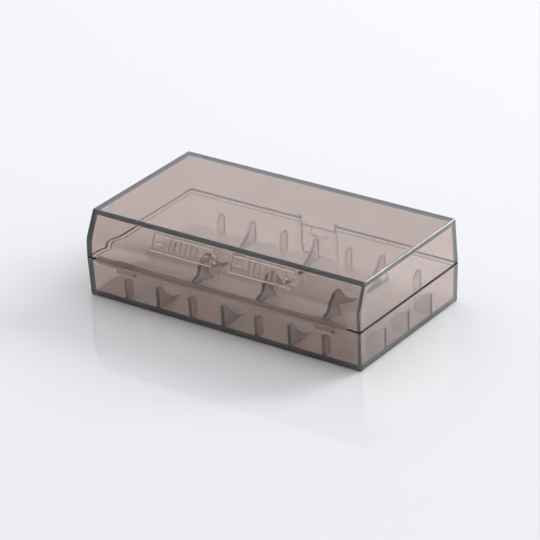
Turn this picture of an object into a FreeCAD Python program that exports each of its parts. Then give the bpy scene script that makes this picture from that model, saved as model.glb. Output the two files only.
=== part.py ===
import FreeCAD, Part
import math
import os

os.makedirs("parts", exist_ok=True)

# A pocket case for two cylindrical cells that lie side by side. It is one moulding in clear tinted
# plastic: a ribbed tray, a plain lid, and a thin web between them that folds and is the hinge.
# It comes as three solids, because the web bends and the lid swings.
# X runs along the case, Y from the hinge side to the latch side, Z up.
# The origin is the middle of the flat underside.

# Driving dimensions, in millimetres and degrees.

# The closed case
case_length = 76.0
case_depth = 40.8
case_height = 21.0
rim_height = 9.9
rim_gap = 0.12
wall = 1.2
floor_thickness = 1.2
roof_thickness = 1.6
draft_angle = 1.6
outer_radius = 0.4
inner_radius = 0.15
rim_radius = 0.2

# The lip of the lid that drops into a rebate along the inside of the tray's rim
lip_drop = 0.55
lip_thickness = 0.55
lip_play = 0.1

# The slanted band along the hinge side of the lid
slant_drop = 6.5
slant_run = 3.05
kink_radius_outside = 4.0
kink_radius_inside = 9.0

# The seats for the cells
cell_seat_diameter = 18.6
cell_pitch = 19.0
rib_pitch = 9.17
saddle_thickness = 0.9
saddle_height = 5.2
wall_plate_thickness = 0.8
wall_plate_reach = 2.4
wall_plate_height = 4.9
end_plate_thickness = 0.8
end_plate_length = 4.7
end_plate_height = 5.1
end_plate_tip_height = 1.8
end_plate_crown = 0.6

# Ribs stand at whole steps of rib_pitch from the middle of the case
saddle_steps = (-2, 0, 2)
wall_plate_steps = (-3, -1, 1, 3)
guide_steps = (-3, 3)
end_plate_rows = (-1, 0, 1)

# The tongues of the lid that slip inside the tray's wall beside the hinge
guide_width = 4.9
guide_drop = 3.0
guide_thickness = 0.8
guide_play = 0.15
guide_root_height = 0.5

# The folded web of the hinge
hinge_reach = 0.9
hinge_thickness = 0.4
hinge_end_margin = 3.6

# The latch tab of the lid and its recess in the tray's wall
tab_width = 9.4
tab_drop = 8.0
tab_thickness = 0.6
tab_corner_radius = 1.5
tab_side_gap = 0.2
tab_nail_gap = 0.5
tab_spring_gap = 0.25
latch_rim_drop = 1.0
slit_height = 1.0
slit_width = 0.5
recess_panel = 0.7
window_width = 4.6
window_height = 2.4
window_drop = 1.1
catch_side_play = 0.25
catch_end_play = 0.2
catch_clearance = 0.05

# Values worked out from the driving dimensions
draft = math.tan(math.radians(draft_angle))
half_length = case_length / 2
half_depth = case_depth / 2
lid_rim = rim_height + rim_gap
kink_height = case_height - slant_drop
hinge_axis_z = rim_height + rim_gap / 2
lip_low = rim_height - lip_drop
latch_rim = rim_height - latch_rim_drop
cell_radius = cell_seat_diameter / 2
cell_axis_z = floor_thickness + cell_radius
recess_depth = tab_thickness + tab_spring_gap
bite = wall / 4


def tray_inset(z):
    # How far the tray's drafted walls have come in at a height below its rim.
    return (rim_height - z) * draft


def lid_inset(z):
    # How far the lid's drafted walls have come in at a height above its rim.
    return (z - lid_rim) * draft


def closed_face(outline, placed):
    # A face inside a closed outline. Each step is a point to go straight to, or a pair of points:
    # one that an arc passes through, and its end.
    here = placed(*outline[0])
    edges = []
    for step in outline[1:] + outline[:1]:
        if isinstance(step[0], tuple):
            through, there = [placed(*point) for point in step]
            edges.append(Part.Arc(here, through, there).toShape())
        else:
            there = placed(*step)
            edges.append(Part.LineSegment(here, there).toShape())
        here = there
    return Part.Face(Part.Wire(edges))


def prism_along_x(outline, x_low, x_high):
    # A prism along X over a closed outline in (y, z).
    face = closed_face(outline, lambda y, z: FreeCAD.Vector(x_low, y, z))
    return face.extrude(FreeCAD.Vector(x_high - x_low, 0, 0))


def prism_along_y(outline, y_low, y_high):
    # A prism along Y over a closed outline in (x, z).
    face = closed_face(outline, lambda x, z: FreeCAD.Vector(x, y_low, z))
    return face.extrude(FreeCAD.Vector(0, y_high - y_low, 0))


def drafted_block(x_low, y_low, z_low, x_high, y_high, z_high):
    # A block with a rectangle of one size at its foot and another at its head, centred on Z.
    rings = []
    for x, y, z in ((x_low, y_low, z_low), (x_high, y_high, z_high)):
        corners = [(-x, -y, z), (x, -y, z), (x, y, z), (-x, y, z), (-x, -y, z)]
        rings.append(Part.makePolygon([FreeCAD.Vector(*corner) for corner in corners]))
    return Part.makeLoft(rings, True, True)


def lies_at(shape, z):
    # Whether an edge or a face lies flat at one height.
    return max(abs(vertex.Z - z) for vertex in shape.Vertexes) < 1e-6


def rounded(solid, radius, open_at):
    # The solid with every sharp edge rounded, apart from those at the height where it is open.
    edges = [edge for edge in solid.Edges if is_sharp(solid, edge) and not lies_at(edge, open_at)]
    return solid.makeFillet(radius, edges)


def is_sharp(solid, edge):
    # Whether two faces meet at an angle along an edge. Where an arc runs into a flat they don't.
    normals = []
    for face in solid.ancestorsOfType(edge, Part.Face):
        middle = edge.valueAt((edge.FirstParameter + edge.LastParameter) / 2)
        normals.append(face.normalAt(*face.Surface.parameter(middle)))
    return normals[0].getAngle(normals[1]) > 0.01


def rim_rounded(shell, z):
    # The shell with the outer edges of its rim rounded.
    rim = next(face for face in shell.Faces if lies_at(face, z))
    return shell.makeFillet(rim_radius, rim.OuterWire.Edges)


def lip_block(play, z_low, z_high):
    # A block over the whole inside of the case and the thickness of the lip, grown by a play.
    inset = wall - lip_thickness - play
    length, depth = half_length - inset, half_depth - inset
    return drafted_block(length, depth, z_low, length, depth, z_high)


def joined(solids):
    # One solid out of several that meet.
    return solids[0].fuse(solids[1:]).removeSplitter()


def write(node, shape):
    # One closed solid in one file.
    solid = shape.Solids[0]
    assert len(shape.Solids) == 1 and solid.isValid(), node
    solid.exportStep(f"parts/{node}.step")
    return solid


# The tray: floor and four walls that lean in towards the floor


def tray_shell():
    foot = tray_inset(0)
    outside = drafted_block(
        half_length - foot, half_depth - foot, 0, half_length, half_depth, rim_height
    )
    outside = rounded(outside, outer_radius, rim_height)
    foot = tray_inset(floor_thickness) + wall
    head = tray_inset(rim_height + wall) + wall
    cavity = drafted_block(
        half_length - foot,
        half_depth - foot,
        floor_thickness,
        half_length - head,
        half_depth - head,
        rim_height + wall,
    )
    cavity = rounded(cavity, inner_radius, rim_height + wall)
    rebate = lip_block(lip_play, lip_low - rim_gap, rim_height + wall)
    return outside, rim_rounded(outside.cut([cavity, rebate]), rim_height)


# The ribs that carry the cells: saddles right across, plates on the long walls and at one end


def cell_cylinders():
    length = FreeCAD.Vector(1, 0, 0)
    foot = -half_length
    return [
        Part.makeCylinder(
            cell_radius, case_length, FreeCAD.Vector(foot, side * cell_pitch / 2, cell_axis_z), length
        )
        for side in (-1, 1)
    ]


def cross_rib(x, y_from, y_to, thickness, height):
    top = floor_thickness + height
    foot = floor_thickness - bite
    outline = [(y_from, foot), (y_to, foot), (y_to, top), (y_from, top)]
    return prism_along_x(outline, x - thickness / 2, x + thickness / 2)


def saddle(step):
    reach = half_depth - wall + bite - tray_inset(floor_thickness)
    return cross_rib(step * rib_pitch, -reach, reach, saddle_thickness, saddle_height)


def wall_plate(step, side):
    root = side * (half_depth - wall + bite - tray_inset(floor_thickness))
    tip = side * (half_depth - wall - wall_plate_reach)
    y_from, y_to = sorted((root, tip))
    return cross_rib(step * rib_pitch, y_from, y_to, wall_plate_thickness, wall_plate_height)


def end_plate(y):
    # A plate along X against one end wall, whose top falls in a shallow arc towards its tip.
    face = half_length - wall
    root = face + bite - tray_inset(floor_thickness)
    tip = face - end_plate_length
    foot = floor_thickness - bite
    top = floor_thickness + end_plate_height
    low = floor_thickness + end_plate_tip_height
    chord = math.hypot(face - tip, top - low)
    crown_x = (face + tip) / 2 - (top - low) / chord * end_plate_crown
    crown_z = (top + low) / 2 + (face - tip) / chord * end_plate_crown
    outline = [(tip, foot), (tip, low), ((crown_x, crown_z), (face, top)), (root, top), (root, foot)]
    return prism_along_y(outline, y - end_plate_thickness / 2, y + end_plate_thickness / 2)


def seat_ribs():
    ribs = [saddle(step) for step in saddle_steps]
    ribs += [wall_plate(step, side) for step in wall_plate_steps for side in (-1, 1)]
    for cell in cell_cylinders():
        ribs = [rib.cut(cell) for rib in ribs]
    return ribs + [end_plate(row * cell_pitch / 2) for row in end_plate_rows]


# The latch: a tab of the lid in a recess of the tray's wall, with a window that the catch fills


def tab_outline(grow, z_low, z_high):
    # The tab's outline in X and Z with its two round lower corners, grown all round.
    side = tab_width / 2 + grow
    radius = tab_corner_radius + grow
    flat = side - radius
    middle_x = flat + radius * math.sqrt(0.5)
    middle_z = z_low + radius - radius * math.sqrt(0.5)
    return [
        (-side, z_high),
        (side, z_high),
        (side, z_low + radius),
        ((middle_x, middle_z), (flat, z_low)),
        (-flat, z_low),
        ((-middle_x, middle_z), (-side, z_low + radius)),
    ]


def latch_layer(near, far, z_low, z_high):
    # A slab along the latch wall between two depths under the tray's leaning outer face.
    low = half_depth - tray_inset(z_low)
    high = half_depth - tray_inset(z_high)
    outline = [(low - far, z_low), (low - near, z_low), (high - near, z_high), (high - far, z_high)]
    return prism_along_x(outline, -half_length / 2, half_length / 2)


def recess_cut():
    # The recess, and above it the dip in the rim that the root of the tab fills.
    z_low = rim_height - tab_drop - tab_nail_gap
    outline = tab_outline(tab_side_gap, z_low, rim_height + wall)
    block = prism_along_y(outline, 0, case_depth)
    side = tab_width / 2 + tab_side_gap
    dip = Part.makeBox(2 * side, case_depth, case_height, FreeCAD.Vector(-side, 0, latch_rim))
    return block.common(latch_layer(-wall, recess_depth, 0, rim_height + wall)).fuse(dip)


def recess_backing():
    # The wall steps inwards behind the recess, so that it isn't cut thin there.
    side = tab_width / 2 + tab_side_gap + recess_panel
    layer = latch_layer(wall / 2, recess_depth + recess_panel, floor_thickness - bite, latch_rim)
    return layer.common(Part.makeBox(2 * side, case_depth, case_height, FreeCAD.Vector(-side, 0, 0)))


def window_bottom():
    return rim_height - window_drop - window_height


def catch():
    # A wedge in the recess: it slopes out from the top, runs on level and ends in a flat underside.
    z_low = window_bottom() + catch_end_play
    z_high = rim_height - window_drop - catch_end_play
    z_middle = (z_low + z_high) / 2
    height = tab_spring_gap - catch_clearance
    low, middle, high = [half_depth - tray_inset(z) - recess_depth for z in (z_low, z_middle, z_high)]
    outline = [
        (low - bite, z_low),
        (low + height, z_low),
        (middle + height, z_middle),
        (high, z_high),
        (high - bite, z_high),
    ]
    side = window_width / 2 - catch_side_play
    return prism_along_x(outline, -side, side)


def make_tray():
    outside, shell = tray_shell()
    ribs = [rib.common(outside) for rib in seat_ribs()]
    tray = joined([shell] + ribs + [recess_backing()])
    return joined([tray.cut(recess_cut()), catch()])


# The lid: four drafted walls and a roof, slanted along the hinge side


def lid_section(inset, kink_radius, z_low, z_high):
    # The lid's outline in Y and Z, moved inwards by an inset, with a round kink.
    slant = math.atan2(slant_run, slant_drop)
    front = -half_depth + inset
    kink = kink_height - inset * math.tan(slant / 2)
    # The bend takes no more than half of the upright front below it.
    kink_radius = min(kink_radius, (kink - lid_rim) / 2 / math.tan(slant / 2))
    arc_low = kink - kink_radius * math.tan(slant / 2)
    top_front = front + (z_high - kink) * math.tan(slant)
    back = half_depth - inset / math.cos(math.radians(draft_angle))

    def on_arc(angle):
        return (
            front + kink_radius * (1 - math.cos(angle)),
            arc_low + kink_radius * math.sin(angle),
        )

    return [
        (front, z_low),
        (front, arc_low),
        (on_arc(slant / 2), on_arc(slant)),
        (top_front, z_high),
        (back - lid_inset(z_high), z_high),
        (back - lid_inset(z_low), z_low),
    ]


def lid_ends(inset, z_low):
    # A block whose two ends lean in towards the roof, and which is deeper than the lid.
    low = half_length - inset - lid_inset(z_low)
    high = half_length - inset - lid_inset(case_height)
    return drafted_block(low, case_depth, z_low, high, case_depth, case_height)


def lid_shell():
    section = lid_section(0, kink_radius_outside, lid_rim, case_height)
    outside = prism_along_x(section, -half_length, half_length).common(lid_ends(0, lid_rim))
    outside = rim_rounded(rounded(outside, outer_radius, lid_rim), lid_rim)
    outside = outside.fuse(lip_block(0, lip_low, lid_rim + bite))
    below = lid_rim - wall
    section = lid_section(wall, kink_radius_inside, below, case_height - roof_thickness)
    cavity = prism_along_x(section, -half_length, half_length).common(lid_ends(wall, below))
    cavity = rounded(cavity, inner_radius, below)
    return outside.cut(cavity)


def guide(step):
    # A tongue that leans with the tray's wall, and its thicker root on the lid's wall.
    z_low = rim_height - guide_drop
    front = wall - half_depth
    outer_low = front + tray_inset(z_low) + guide_play
    outer_high = front + guide_play
    root_top = lid_rim + guide_root_height
    outline = [
        (outer_low, z_low),
        (outer_low + guide_thickness, z_low),
        (outer_high + guide_thickness, lid_rim),
        (outer_high + guide_thickness, root_top - guide_thickness / 2),
        (front - bite, root_top),
        (front - bite, lip_low),
        (outer_high, lip_low),
    ]
    middle = step * rib_pitch
    return prism_along_x(outline, middle - guide_width / 2, middle + guide_width / 2)


def latch_tab():
    z_low = rim_height - tab_drop
    block = prism_along_y(tab_outline(0, z_low, lid_rim), 0, case_depth)
    block = block.common(latch_layer(0, tab_thickness, z_low, lid_rim))
    window = Part.makeBox(
        window_width, case_depth, window_height, FreeCAD.Vector(-window_width / 2, 0, window_bottom())
    )
    face = half_depth - wall
    root_low = latch_rim + rim_gap
    outline = [
        (face, root_low),
        (half_depth - tray_inset(root_low), root_low),
        (half_depth, lid_rim),
        (half_depth - lid_inset(lid_rim + bite), lid_rim + bite),
        (face, lid_rim + bite),
    ]
    root = prism_along_x(outline, -tab_width / 2, tab_width / 2)
    return joined([block, root]).cut(window)


def slits():
    side = tab_width / 2
    height = lid_rim + slit_height - lip_low
    return [
        Part.makeBox(slit_width, case_depth, height, FreeCAD.Vector(x, half_depth - 2 * wall, lip_low))
        for x in (-side - slit_width, side)
    ]


def make_lid():
    shell = lid_shell().cut(slits())
    return joined([shell, latch_tab()] + [guide(step) for step in guide_steps])


# The hinge: a thin web folded into a loop that stands out along the parting line


def make_hinge(tray, lid):
    # The loop's two feet run into the walls and are trimmed off flush with them.
    half = half_length - hinge_end_margin
    loop = None
    for radius in (hinge_reach, hinge_reach - hinge_thickness):
        centre = FreeCAD.Vector(-half, -half_depth, hinge_axis_z)
        rod = Part.makeCylinder(radius, 2 * half, centre, FreeCAD.Vector(1, 0, 0))
        foot = Part.makeBox(
            2 * half, wall, 2 * radius, FreeCAD.Vector(-half, -half_depth, hinge_axis_z - radius)
        )
        loop = rod.fuse(foot) if loop is None else loop.cut(rod.fuse(foot))
    front = Part.makeBox(
        case_length, wall, case_height, FreeCAD.Vector(-half_length, -half_depth - wall, 0)
    )
    sliver = Part.makeBox(
        case_length, bite, case_height, FreeCAD.Vector(-half_length, -half_depth, 0)
    )
    return loop.common(front.fuse(sliver)).cut(tray).cut(lid)


tray = write("tray", make_tray())
lid = write("lid", make_lid())
write("living_hinge", make_hinge(tray, lid))
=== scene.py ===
import math

import bmesh
import bpy
from mathutils import Matrix, Vector


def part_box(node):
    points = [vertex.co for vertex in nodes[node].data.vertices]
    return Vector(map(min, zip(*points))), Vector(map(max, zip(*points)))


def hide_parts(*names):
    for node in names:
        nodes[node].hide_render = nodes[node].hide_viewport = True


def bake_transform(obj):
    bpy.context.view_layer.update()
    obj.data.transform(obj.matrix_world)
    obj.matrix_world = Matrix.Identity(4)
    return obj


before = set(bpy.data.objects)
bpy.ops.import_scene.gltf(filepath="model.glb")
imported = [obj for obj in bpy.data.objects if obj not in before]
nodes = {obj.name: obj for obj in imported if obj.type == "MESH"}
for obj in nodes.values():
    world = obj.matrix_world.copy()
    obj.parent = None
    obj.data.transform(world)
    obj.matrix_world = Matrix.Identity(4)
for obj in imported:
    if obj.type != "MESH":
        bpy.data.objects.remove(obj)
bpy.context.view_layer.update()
scene = bpy.context.scene

# The tray and the lid: clear polypropylene with a grey-brown smoke tint, glossy from the polished mould. The
# tint darkens with the length of plastic that light crosses, and the ribs are duller than the walls.
# The slanted front carries two cells drawn in raised lines.

MM = 0.001
SMOOTH = {"interpolation_type": "SMOOTHSTEP"}
DOT = {"operation": "DOT_PRODUCT"}
PLASTIC_IOR = 1.49
SMOKE_TINT = (0.70, 0.605, 0.565)
SMOKE_DENSITY = 540.0
CLOUD_TINT = (0.5, 0.8, 1.0)
CLOUD_DENSITY = 160.0
POLISH_ROUGHNESS = 0.02
MOTTLE_ROUGHNESS = 0.02
MOTTLE_SCALE = 180.0
WAVE_SIZE = 14 * MM
WAVE_HEIGHT = 0.015 * MM

RIB_ROUGHNESS = 0.18
GRAIN_ROUGHNESS = 0.2
GRAIN_SCALE = 2500.0
RIB_HAZE = (0.62, 0.78, 0.95)
RIB_HAZE_SHARE = 0.03
WALL_ZONE = 1.5 * MM
LATCH_WALL_ZONE = 3.8 * MM
FLOOR_ZONE = 1.3 * MM
RIM_ZONE = 0.7 * MM

# Painted shade along the parting line: a near-black matte, and the band about the rim where it is laid.
SEAM_SHADE = (0.012, 0.008, 0.010)
SEAM_BELOW_RIM = 0.25 * MM
SEAM_ABOVE_RIM = 0.35 * MM
SEAM_LEAN = (0.05, 0.99)
HINGE_HAZE = (0.85, 0.73, 0.66)
HINGE_HAZE_SHARE = 0.4
HINGE_WALL_ZONE = 0.9 * MM
HINGE_FOOT = 0.05 * MM

SLANT_ANGLE = 0.438
DRAWING_MIDDLE = 17.7 * MM
DRAWING_PLANE = -24.0 * MM
DRAWING_PITCH = 22 * MM
LINE_HALF_WIDTH = 0.20 * MM
LINE_EDGE = 0.12 * MM
LINE_HEIGHT = 0.5 * MM
CELL_HALF_SIZE = (8.4 * MM, 1.9 * MM)
NUB_PLACE = 8.8 * MM
NUB_HALF_SIZE = (0.7 * MM, 0.8 * MM)
MARK_PLACE = 6.2 * MM
MARK_HALF_SIZE = 0.9 * MM
BAR_PITCH = 1.5 * MM
BARS_HALF_SIZE = (4.5 * MM, 1.1 * MM)

tray_low, tray_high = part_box("tray")
hinge_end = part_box("living_hinge")[1].x


class Value:
    """A shader socket that takes part in sums."""

    def __init__(self, tree, socket):
        self.tree = tree
        self.socket = socket

    def _math(self, operation, *inputs):
        return self.tree.node("ShaderNodeMath", {"operation": operation}, *inputs)

    def __add__(self, other):
        return self._math("ADD", self, other)

    __radd__ = __add__

    def __mul__(self, other):
        return self._math("MULTIPLY", self, other)

    __rmul__ = __mul__

    def __sub__(self, other):
        return self._math("SUBTRACT", self, other)

    def __rsub__(self, other):
        return self._math("SUBTRACT", other, self)

    def __gt__(self, limit):
        return self._math("GREATER_THAN", self, limit)

    def __lt__(self, limit):
        return self._math("LESS_THAN", self, limit)

    def __abs__(self):
        return self._math("ABSOLUTE", self)

    def over(self, other):
        """The larger of two values."""
        return self._math("MAXIMUM", self, other)

    def under(self, other):
        """The smaller of two values."""
        return self._math("MINIMUM", self, other)

    def wrapped(self, length):
        """The value counted again from 0 after each length."""
        return self._math("FLOORED_MODULO", self, length)


class Shader:
    """The node tree of one material or world, emptied."""

    def __init__(self, owner):
        owner.use_nodes = True
        self.nodes = owner.node_tree.nodes
        self.links = owner.node_tree.links
        self.nodes.clear()

    def node(self, kind, settings=None, *inputs, output=0, **named):
        """Adds a node, sets it up, feeds its sockets by number or name, and returns one output."""
        made = self.nodes.new(kind)
        for name, value in (settings or {}).items():
            setattr(made, name, value)
        feeds = list(enumerate(inputs)) + [(name.replace("_", " "), value) for name, value in named.items()]
        for place, value in feeds:
            socket = made.inputs[place]
            if isinstance(value, Value):
                self.links.new(value.socket, socket)
            elif value is not None:
                socket.default_value = (*value, 1.0) if socket.type == "RGBA" else value
        return Value(self, made.outputs[output]) if len(made.outputs) else None

    def mix(self, share, first, second):
        """Blends two colours by a share from 0 to 1."""
        unused = [None] * 5
        return self.node("ShaderNodeMix", {"data_type": "RGBA"}, share, *unused, first, second, output=2)


def cell_drawing(tree, x, y, z):
    """1 on the raised lines of two cells that lie nose to tail on the slanted front, 0 beside them."""
    along = (x + DRAWING_PITCH).wrapped(DRAWING_PITCH) - DRAWING_PITCH / 2
    upward = (z - DRAWING_MIDDLE) * (1 / math.cos(SLANT_ANGLE))

    def patch(middle, half_length, half_height):
        return (abs(along - middle) - half_length).over(abs(upward) - half_height)

    outline = abs(patch(0, *CELL_HALF_SIZE).under(patch(NUB_PLACE, *NUB_HALF_SIZE)))
    plus = patch(MARK_PLACE, MARK_HALF_SIZE, 0).under(patch(MARK_PLACE, 0, MARK_HALF_SIZE))
    minus = patch(-MARK_PLACE, MARK_HALF_SIZE, 0)
    bars = abs(along.wrapped(BAR_PITCH) - BAR_PITCH / 2).over(patch(0, *BARS_HALF_SIZE))
    nearest = outline.under(plus).under(minus).under(bars) - LINE_HALF_WIDTH
    raised = tree.node("ShaderNodeMapRange", SMOOTH, nearest, -LINE_EDGE, LINE_EDGE, 1.0, 0.0)
    depth = y * math.cos(SLANT_ANGLE) - z * math.sin(SLANT_ANGLE)
    return raised * (depth < DRAWING_PLANE) * (abs(x) < DRAWING_PITCH)


def smoke_plastic():
    material = bpy.data.materials.new("smoke_clear_plastic")
    tree = Shader(material)
    place = tree.node("ShaderNodeTexCoord", output="Object")
    x, y, z = [tree.node("ShaderNodeSeparateXYZ", None, place, output=axis) for axis in "XYZ"]
    facing = tree.node("ShaderNodeTexCoord", output="Normal")
    lean = abs(tree.node("ShaderNodeSeparateXYZ", None, facing, output="Z"))

    on_ribs = abs(x) < tray_high.x - WALL_ZONE
    on_ribs = on_ribs * (y > tray_low.y + WALL_ZONE) * (y < tray_high.y - LATCH_WALL_ZONE)
    on_ribs = on_ribs * (z > FLOOR_ZONE) * (z < tray_high.z - RIM_ZONE)
    on_hinge = y < tray_low.y - HINGE_FOOT
    by_hinge = (y < tray_low.y + HINGE_WALL_ZONE) * (abs(x) < hinge_end)
    # Painted shade: the rounded rim edges along the parting line, away from the hinge, become a near-black
    # matte that stands in for the shade in the thin gap between lid and tray.
    on_seam = (z > tray_high.z - SEAM_BELOW_RIM) * (z < tray_high.z + SEAM_ABOVE_RIM)
    on_seam = on_seam * (lean > SEAM_LEAN[0]) * (lean < SEAM_LEAN[1]) * (1.0 - by_hinge)

    waves = tree.node("ShaderNodeTexNoise", None, place, Scale=1 / WAVE_SIZE, Detail=0.0)
    height = waves * WAVE_HEIGHT + cell_drawing(tree, x, y, z) * LINE_HEIGHT
    relief = tree.node("ShaderNodeBump", None, Strength=1.0, Distance=1.0, Height=height)
    mottle = tree.node("ShaderNodeTexNoise", None, place, Scale=MOTTLE_SCALE, Detail=3.0)
    grain = tree.node("ShaderNodeTexNoise", None, place, Scale=GRAIN_SCALE, Detail=2.0)
    dullness = on_ribs * (grain * GRAIN_ROUGHNESS + RIB_ROUGHNESS)
    clear = tree.node(
        "ShaderNodeBsdfPrincipled",
        None,
        Base_Color=(1.0, 1.0, 1.0),
        Roughness=mottle * MOTTLE_ROUGHNESS + POLISH_ROUGHNESS + dullness,
        IOR=PLASTIC_IOR,
        Transmission_Weight=1.0,
        Normal=relief,
    )
    rib_haze = tree.node("ShaderNodeBsdfTranslucent", None, Color=RIB_HAZE)
    hinge_haze = tree.node("ShaderNodeBsdfTranslucent", None, Color=HINGE_HAZE)
    # The near-black matte of the painted seam shade.
    painted_seam_shade = tree.node("ShaderNodeBsdfDiffuse", None, Color=SEAM_SHADE)
    surface = tree.node("ShaderNodeMixShader", None, on_ribs * RIB_HAZE_SHARE, clear, rib_haze)
    surface = tree.node("ShaderNodeMixShader", None, on_hinge * HINGE_HAZE_SHARE, surface, hinge_haze)
    surface = tree.node("ShaderNodeMixShader", None, on_seam, surface, painted_seam_shade)
    tint = tree.node("ShaderNodeVolumeAbsorption", None, Color=SMOKE_TINT, Density=SMOKE_DENSITY)
    cloud = tree.node("ShaderNodeVolumeScatter", None, Color=CLOUD_TINT, Density=CLOUD_DENSITY)
    body = tree.node("ShaderNodeAddShader", None, tint, cloud)
    tree.node("ShaderNodeOutputMaterial", None, Surface=surface, Volume=body)
    return material


plastic = smoke_plastic()
for name in ("tray", "lid"):
    nodes[name].data.materials.clear()
    nodes[name].data.materials.append(plastic)

# The living hinge: a web of the same plastic, thinned so that it folds, and bent out into a loop when shut. It
# is moulded in one with both rims. Folding has clouded it.

WEB_THICKNESS = 0.4 * MM
WEB_STEPS = 24

low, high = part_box("living_hinge")
web_radius = (high.z - low.z) / 2
web_centre_y = low.y + web_radius
web_centre_z = (high.z + low.z) / 2


def half_circle(radius, steps):
    """Points in Y and Z on the half circle that stands out from the wall, at some of its equal steps."""
    points = []
    for step in steps:
        angle = math.pi * step / WEB_STEPS
        points.append((web_centre_y - radius * math.sin(angle), web_centre_z + radius * math.cos(angle)))
    return points


def web_mesh():
    outside = half_circle(web_radius, range(WEB_STEPS + 1))
    inside = half_circle(web_radius - WEB_THICKNESS, range(WEB_STEPS, -1, -1))
    outline = outside + inside
    mesh = bmesh.new()
    left, right = [[mesh.verts.new((x, y, z)) for y, z in outline] for x in (low.x, high.x)]
    count = len(outline)
    for i in range(count):
        follower = (i + 1) % count
        mesh.faces.new((left[i], left[follower], right[follower], right[i]))
    for ring in (left, right):
        for i in range(WEB_STEPS):
            mesh.faces.new((ring[i], ring[i + 1], ring[count - 2 - i], ring[count - 1 - i]))
    bmesh.ops.recalc_face_normals(mesh, faces=mesh.faces)
    data = bpy.data.meshes.new("hinge_web")
    mesh.to_mesh(data)
    mesh.free()
    return data


web = bpy.data.objects.new("hinge_web", web_mesh())
scene.collection.objects.link(web)
web.data.materials.append(plastic)
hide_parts("living_hinge")
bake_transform(web)

# The table: a glossy white acrylic sheet. Where it is seen through the tinted walls it shows a painted glow,
# which stands in for light spreading sideways inside the sheet and keeps it bright under the case. The glow is
# weaker under the case's front, a painted shade there. Beside the case it takes a soft shadow and a faint
# mirror image. Its own colour is darker on the camera's side, a painted falloff of light.

TABLE_SIZE = 6.0
TABLE_GAP = 0.02 * MM
# Painted falloff of light: the sheet's colour goes from TABLE_NEAR on the camera's side to TABLE_FAR away from
# it.
TABLE_NEAR = (0.79, 0.787, 0.80)
TABLE_FAR = (0.82, 0.815, 0.822)
FAR_SIDE = (-0.59, 0.81, 0.0)
FADE_REACH = (-0.12, 0.1)
SHEET_ROUGHNESS = 0.05
SHEET_IOR = 1.25
# Painted glow: an emission seen only through the case's walls, from GLOW_FRONT under the front to GLOW_BACK
# behind.
TABLE_GLOW = (0.89, 0.895, 0.93)
GLOW_FRONT = 0.14
GLOW_BACK = 1.0
GLOW_REACH = (-8 * MM, 34 * MM)

edge = TABLE_SIZE / 2
corners = [(-edge, -edge, 0), (edge, -edge, 0), (edge, edge, 0), (-edge, edge, 0)]
table_data = bpy.data.meshes.new("table")
table_data.from_pydata(corners, [], [(0, 1, 2, 3)])
table = bpy.data.objects.new("table", table_data)
table.location.z = -TABLE_GAP
scene.collection.objects.link(table)
table_material = bpy.data.materials.new("table_white")
tree = Shader(table_material)
place = tree.node("ShaderNodeTexCoord", output="Object")
behind = tree.node("ShaderNodeSeparateXYZ", None, place, output="Y")
far = tree.node("ShaderNodeVectorMath", DOT, place, FAR_SIDE, output="Value")
# Painted shade: the sheet is darker towards the camera's side.
painted_falloff = tree.node("ShaderNodeMapRange", SMOOTH, far, *FADE_REACH, 0.0, 1.0)
white = tree.mix(painted_falloff, TABLE_NEAR, TABLE_FAR)
sheet = tree.node(
    "ShaderNodeBsdfPrincipled", None, Base_Color=white, Roughness=SHEET_ROUGHNESS, IOR=SHEET_IOR
)
# The painted glow that stands in for light spread inside the sheet, shown only on rays that came through the
# case.
painted_glow = tree.node("ShaderNodeEmission", None, Color=TABLE_GLOW, Strength=1.0)
painted_glow_share = tree.node("ShaderNodeMapRange", None, behind, *GLOW_REACH, GLOW_FRONT, GLOW_BACK)
seen_through = tree.node("ShaderNodeLightPath", output="Is Transmission Ray")
surface = tree.node("ShaderNodeMixShader", None, seen_through * painted_glow_share, sheet, painted_glow)
tree.node("ShaderNodeOutputMaterial", None, Surface=surface)
table_data.materials.append(table_material)

# The studio: a white backdrop that wraps round from behind and over the top, a dimmer room on the camera's
# side, and one long lamp behind the case on the right, which slants up to the left.

BACKDROP_SIDE = Vector((0.02, 0.84, 0.54)).normalized()
BACKDROP_EDGE = (-0.4, 0.8)
BACKDROP_LIGHT = (1.2, 1.22, 1.27)
ROOM_LIGHT = (0.27, 0.265, 0.26)
KEY_PLACE = Vector((0.60, 1.11, 0.76))
KEY_LONG_SIDE = Vector((-0.53, 0.0, 0.44))
KEY_SIZE = (0.2, 1.0)
KEY_POWER = 10.0

world = bpy.data.worlds.new("studio")
scene.world = world
tree = Shader(world)
direction = tree.node("ShaderNodeTexCoord", output="Generated")
towards = tree.node("ShaderNodeVectorMath", DOT, direction, BACKDROP_SIDE, output="Value")
reach = tree.node("ShaderNodeMapRange", SMOOTH, towards, *BACKDROP_EDGE, 0.0, 1.0)
sky = tree.node("ShaderNodeBackground", None, Color=tree.mix(reach, ROOM_LIGHT, BACKDROP_LIGHT), Strength=1.0)
tree.node("ShaderNodeOutputWorld", None, Surface=sky)

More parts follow.
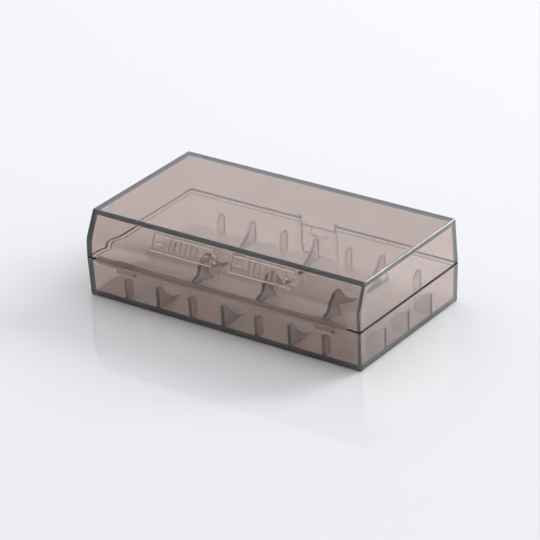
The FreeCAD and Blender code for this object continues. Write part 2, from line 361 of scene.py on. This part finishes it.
lamp = bpy.data.lights.new("key", "AREA")
lamp.shape = "RECTANGLE"
lamp.size, lamp.size_y = KEY_SIZE
lamp.energy = KEY_POWER
key = bpy.data.objects.new("key", lamp)
outward = KEY_PLACE.normalized()
across = KEY_LONG_SIDE.cross(outward).normalized()
key.matrix_world = Matrix((across, outward.cross(across), outward)).transposed().to_4x4()
key.matrix_world.translation = KEY_PLACE
key.visible_transmission = False
scene.collection.objects.link(key)

# The camera: the photograph's viewpoint, from the hinge side and the right end, a little tilted.

VIEW_AZIMUTH = 0.63062
VIEW_ELEVATION = 0.4606
VIEW_ROLL = -0.04594
VIEW_DISTANCE = 0.70522
VIEW_SHIFT_RIGHT = 0.00022
VIEW_SHIFT_UP = 0.003483
VIEW_CENTRE = Vector((0, 0, 0.011))
FOCAL_PIXELS = 3067.76
FRAME_PIXELS = 540
SENSOR_WIDTH = 36.0
GLASS_BOUNCES = 32
CLOUD_BOUNCES = 8

backward = Vector((
    math.sin(VIEW_AZIMUTH) * math.cos(VIEW_ELEVATION),
    -math.cos(VIEW_AZIMUTH) * math.cos(VIEW_ELEVATION),
    math.sin(VIEW_ELEVATION),
))
level = Vector((math.cos(VIEW_AZIMUTH), math.sin(VIEW_AZIMUTH), 0))
upward = backward.cross(level)
right = level * math.cos(VIEW_ROLL) + upward * math.sin(VIEW_ROLL)
up = upward * math.cos(VIEW_ROLL) - level * math.sin(VIEW_ROLL)
place = VIEW_CENTRE + backward * VIEW_DISTANCE - right * VIEW_SHIFT_RIGHT - up * VIEW_SHIFT_UP
lens = bpy.data.cameras.new("camera")
lens.sensor_width = SENSOR_WIDTH
lens.lens = FOCAL_PIXELS / FRAME_PIXELS * SENSOR_WIDTH
camera = bpy.data.objects.new("camera", lens)
camera.matrix_world = Matrix((right, up, backward)).transposed().to_4x4()
camera.matrix_world.translation = place
scene.collection.objects.link(camera)
scene.camera = camera

scene.view_settings.view_transform = "Standard"
scene.cycles.max_bounces = GLASS_BOUNCES
scene.cycles.transmission_bounces = GLASS_BOUNCES
scene.cycles.volume_bounces = CLOUD_BOUNCES
